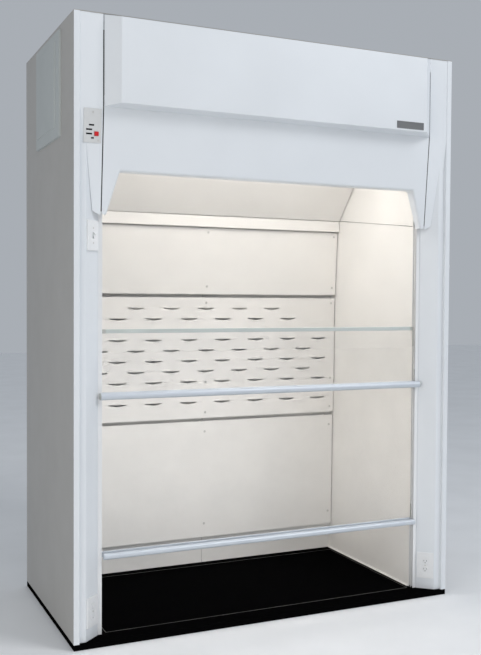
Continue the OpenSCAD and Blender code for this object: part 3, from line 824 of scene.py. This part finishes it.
def make_liners():
    """Boards with eased edges, each side's parted by a joint that falls towards the front."""
    boards = []
    (front, joint_foot), (back, joint_head) = (LINER_FRONT, 1781), (797, 1857)
    rise = math.atan2(joint_head - joint_foot, back - front)
    heights = (BASE_H, LINER_TOP)
    for side in (-1, 1):
        x = sorted((side * LINER_X, side * (LINER_X + SKIN)))
        board = block("board", x, (LINER_FRONT, LINER_BACK), heights)
        joint = local_block("joint", (-10, 10), (-900, 900), (-1.3, 1.3))
        middle = at(side * LINER_X, (front + back) / 2, (joint_foot + joint_head) / 2)
        place(joint, Matrix.Translation(middle) @ Matrix.Rotation(rise, 4, "X"))
        boards.append(cut_away(board, joint))
    fit(ease(join("side_liner_boards", boards), 0.7), "side_liners")
    halves, sheet = ((-LINER_X, -1), (1, LINER_X)), (LINER_BACK - SKIN, LINER_BACK)
    rear = [block("board", x, sheet, heights) for x in halves]
    fit(ease(join("rear_liner_boards", rear), 0.7), "rear_liner")
    beads = []
    for side in (-1, 1):
        inner, outer = side * (LINER_X - 7), side * LINER_X
        bead = block("bead", sorted((inner, outer)), (112, 889), (BASE_H, BASE_H + 7))
        edit(bead)
        choose("EDGE", lambda e: math.dist(where(e), (inner, 500.5, BASE_H + 7)) < 0.1)
        bpy.ops.mesh.bevel(offset=0.0055, segments=5, profile=0.3)
        only(bead)
        beads.append(bead)
    fit(smooth(join("floor_sealant", beads)), slot="liner", body="hood")


def make_boards():
    """The baffles, the canopy and their small fittings, with crisp eased edges."""
    for node in ("canopy_panel", "canopy_rail", "upper_baffle", "lower_baffle", "baffle_spacers"):
        dressed(node, 0.5, 1)
    dressed("middle_baffle", 0)


def make_baffle_screws():
    frames = []
    for (top, foot), heights in BAFFLES.items():
        tilt = math.degrees(math.atan2(foot[0] - top[0], top[1] - foot[1]))
        for z in heights:
            depth = top[0] + (foot[0] - top[0]) * (top[1] - z) / (top[1] - foot[1])
            frames += [facing_front(x, depth, z, tilt) for x in (-750, 0, 750)]
    fit(screws_at("baffle_screw_heads", screw_head(6, 2.8, 1.4), frames), "baffle_screws")


def make_cover(side):
    """A raised cover: a shallow pan with a second step, its rims rounded."""
    depths, heights, face = (221, 672), (2099, 2547), HALF_W + 8
    step_depths, step_heights = (295, 648), (2146, 2512)
    cover = block(
        "service_cover_" + ("right" if side > 0 else "left"),
        sorted((side * HALF_W, side * face)), depths, heights,
    )
    edit(cover)
    choose("FACE", lambda f: side * where(f)[0] > face - 0.1)
    middle = at(0, sum(depths) / 2, sum(heights) / 2)
    bpy.ops.transform.resize(value=(1, 0.988, 0.988), center_override=middle)
    for depth in step_depths:
        slice_through(at(0, depth, 0), (0, 1, 0))
    for z in step_heights:
        slice_through(at(0, 0, z), (0, 0, 1))
    step = (sum(step_depths) / 2, sum(step_heights) / 2)
    choose("FACE", lambda f: math.dist(where(f), (side * face, *step)) < 2)
    pull_out(x=side * 4)
    bpy.ops.transform.resize(value=(1, 0.99, 0.99), center_override=at(0, *step))
    drop_faces(lambda f: side * where(f)[0] < HALF_W + 0.1)
    only(cover)
    round_edges(cover, 3, 3, 20)
    thicken(cover, 2.5, use_even_offset=True)
    fit(smooth(cover, 60), "access_covers")


def make_shell():
    """Rear and roof panels with their screws, and the side panels."""
    sheets = []
    for x in ((-HALF_W, -1), (1, HALF_W)):
        sheet = block("rear_sheet", x, (DEPTH - SKIN, DEPTH), (BASE_H, WALL_TOP))
        edit(sheet)
        for z in (870, 1715):
            slice_through(at(0, 0, z), (0, 0, 1))
        choose("FACE", lambda f: f.normal.y > 0.9)
        bpy.ops.mesh.inset(thickness=0.045, depth=0, use_individual=True)
        bpy.ops.mesh.inset(thickness=0.004, depth=-0.0018, use_individual=True)
        only(sheet)
        sheets.append(sheet)
    sheets.append(block("seam_backing", (-14, 14), (924.8, 927.8), (BASE_H, WALL_TOP)))
    fit(ease(join("rear_sheets", sheets), 0.8, 2, 15), "rear_panel")
    dressed("side_panels", 0.8)
    dressed("roof_panel", 0.8)
    inset, seat, roof_z = 18, DEPTH - 2.6, 2565.6
    sides = (inset - HALF_W, HALF_W - inset)
    back = Matrix.Rotation(math.radians(-90), 4, "X")
    rear = [at(x, seat, z) for x in (sides[0], -inset, inset, sides[1]) for z in range(60, 2560, 275)]
    roof = [at(x, depth, roof_z) for depth in (inset, DEPTH - inset) for x in range(-880, 881, 220)]
    roof += [at(x, depth, roof_z) for x in sides for depth in (240, 465, 690)]
    for name, spots, turn in (("rear", rear, back), ("roof", roof, Matrix.Identity(4))):
        frames = [Matrix.Translation(spot) @ turn for spot in spots]
        heads = screws_at(name + "_screw_heads", screw_head(5.5, 2.2, 1.2), frames)
        fit(heads, slot="screw_steel", body="hood")


def make_collar():
    """The round exhaust collar, with a rolled bead near its mouth and a flange on the roof."""
    middle, length = at(0, COLLAR_Y, (COLLAR_TOP + COLLAR_FOOT) / 2), COLLAR_TOP - COLLAR_FOOT
    duct = cylinder("exhaust_collar", 152.5, middle, length, 96, end_fill_type="NOTHING")
    edit(duct)
    for z in (2612, 2616, 2620, 2624, 2628):
        slice_through(at(0, 0, z), (0, 0, 1))
    for z, grow in ((2616, 1.018), (2620, 1.026), (2624, 1.018)):
        choose("VERT", lambda v: abs(where(v)[2] - z) < 0.1)
        bpy.ops.transform.resize(value=(grow, grow, 1), center_override=at(0, COLLAR_Y, z))
    only(duct)
    thicken(duct, 2)
    smooth(duct, 40)
    outer, inner, rivet_ring, rivet_count = 190.0, 153.5, 180, 12
    middle = at(0, COLLAR_Y, FLANGE_TOP - 1)
    ring = cylinder("collar_flange", outer, middle, 2, 96, end_fill_type="NOTHING")
    edit(ring)
    choose("EDGE", lambda e: abs(where(e)[2] - FLANGE_TOP) < 0.1 and len(e.link_faces) == 1)
    pull_out()
    scale = inner / outer
    bpy.ops.transform.resize(
        value=(scale, scale, 1), center_override=at(0, COLLAR_Y, FLANGE_TOP)
    )
    pull_out(height=10)
    only(ring)
    thicken(ring, 1.5)
    smooth(ring, 40)
    turns = [math.tau * i / rivet_count for i in range(rivet_count)]
    spots = [
        at(rivet_ring * math.cos(a), COLLAR_Y + rivet_ring * math.sin(a), FLANGE_TOP) for a in turns
    ]
    rivets = screws_at("collar_rivets", screw_head(4, 2), map(Matrix.Translation, spots))
    fit(duct, "exhaust_duct")
    fit(ring, slot="galvanised", body="hood")
    fit(rivets, slot="screw_steel", body="hood")


def make_junction_box():
    lid = block("junction_lid", (-662, -538), (238, 362), (BOX_TOP - 3, BOX_TOP))
    edit(lid)
    choose("FACE", lambda f: f.normal.z < -0.9)
    bpy.ops.mesh.inset(thickness=0.0015)
    only(lid)
    dressed("junction_box", 1.0)
    fit(ease(lid, 0.8), slot="galvanised", body="hood")
    spots = [Matrix.Translation(at(x, y, BOX_TOP)) for x in (-654, -546) for y in (246, 354)]
    screws = screws_at("junction_lid_screws", screw_head(4, 2, 1), spots)
    fit(screws, slot="screw_steel", body="hood")


# ---------------------------------------------------------------- wall devices


def make_devices():
    dressed("outlet_plates", 1.4, 3)
    dressed("receptacles", 0.5)
    # Black blocks in the sockets' openings: painted shade inside the slots.
    slot_shades = []
    for side in (-1, 1):
        for socket in (-19.5, 19.5):
            for x, low, high, half in ((-6.3, -1, 7, 0.98), (6.3, -1, 7, 0.98), (0, -9.3, -4.7, 2.2)):
                slot_shade = local_block(
                    "slot_shade", (x - half, x + half), (-5.2, 4), (socket + low, socket + high)
                )
                slot_shades.append(place(slot_shade, on_slant(side, OUTLET_Z)))
    fit(ease(join("socket_slot_shades", slot_shades), 0.2), slot="window_black", body="hood")
    for node, radius, segments in (
        ("switch_plate", 1.4, 3), ("switch_toggle", 1.0, 2), ("alarm_plate", 0.9, 2),
        ("alarm_windows", 0.4, 2), ("alarm_button", 1.6, 3),
    ):
        dressed(node, radius, segments)
    towards = Matrix.Rotation(math.radians(90), 4, "X")
    seats = [(on_slant(side, OUTLET_Z), 0, -5.8, 0) for side in (-1, 1)]
    seats += [(on_slant(-1, SWITCH_Z), 0, -5.8, z) for z in (-30.2, 30.2)]
    seats += [(on_alarm(), x, -2.9, z) for x, z in ((1, 53), (24, -58))]
    frames = [
        surface @ Matrix.Translation(Vector(seat) / MM) @ towards for surface, *seat in seats
    ]
    fit(screws_at("plate_screw_heads", screw_head(3.4, 1.4, 0.9), frames), "plate_screws")


# ---------------------------------------------------------------- sashes


def make_sashes():
    for level, depths, foot in (("upper", (81, 87), 1012), ("lower", (97, 103), 349)):
        pane = block(level + "_pane", (-787, 787), depths, (foot, PANE_TOP[level]))
        fit(ease(pane, 0.9), level + "_sash_glass")
    for node, radius in (
        ("upper_sash_handle", 0.8), ("upper_handle_plugs", 1.2), ("upper_sash_glides", 0.8),
        ("lower_top_rail", 1.0), ("lower_bottom_rail", 1.0), ("lower_sash_handle", 1.2),
        ("lower_sash_glides", 0.8), ("sash_tracks", 0.8), ("track_bumpers", 0.8),
    ):
        dressed(node, radius)


def make_counterbalance():
    for node, x, depth in (
        ("upper_counterweights", 856.7, 135.6), ("lower_counterweights", 819.2, 235.2),
    ):
        weights = dressed(node, 3, 3)
        low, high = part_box(node)
        middle, length = (low[2] + high[2]) / 2 * MM, (high[2] - low[2]) * MM + 100
        for side in (-1, 1):
            cut_away(weights, cylinder("cable_hole", 4, at(side * x, depth, middle), length, 24))
        smooth(weights)
    for node in ("left_upper_pulley", "right_upper_pulley", "left_lower_pulley", "right_lower_pulley"):
        dressed(node, 0.5)
    dressed("pulley_brackets", 0.8)
    for level, depth, keep in (("upper", 84, 0.146), ("lower", 100, 0.527)):
        foot = PANE_TOP[level]
        middle, length = (PULLEY_Z + foot) / 2, PULLEY_Z - foot
        ropes = []
        for side in (-1, 1):
            rope = cylinder("rope", 1.5, at(side * ROPE_X, depth, middle), length, 12)
            edit(rope)
            for step in range(1, 6):
                slice_through(at(0, 0, foot + length * step / 6), (0, 0, 1))
            only(rope)
            ropes.append(rope)
        rope = fit(smooth(join(level + "_lift_rope", ropes)), level + "_lift_cables")
        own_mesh(rope)


set_camera()
set_studio()

for name, node in nodes.items():
    node.data.materials.clear()
    node.data.materials.append(FINISH[SLOT_OF[name]])

make_work_floor()
make_post(-1, "left_front_post", "left_post")
make_post(1, "right_front_post", "right_post")
make_fascia()
make_nameplate()
make_lower_panel()
make_gap_shade_strips()
make_liners()
make_boards()
make_baffle_screws()
make_cover(-1)
make_cover(1)
make_shell()
make_collar()
make_junction_box()
make_devices()
make_sashes()
make_counterbalance()
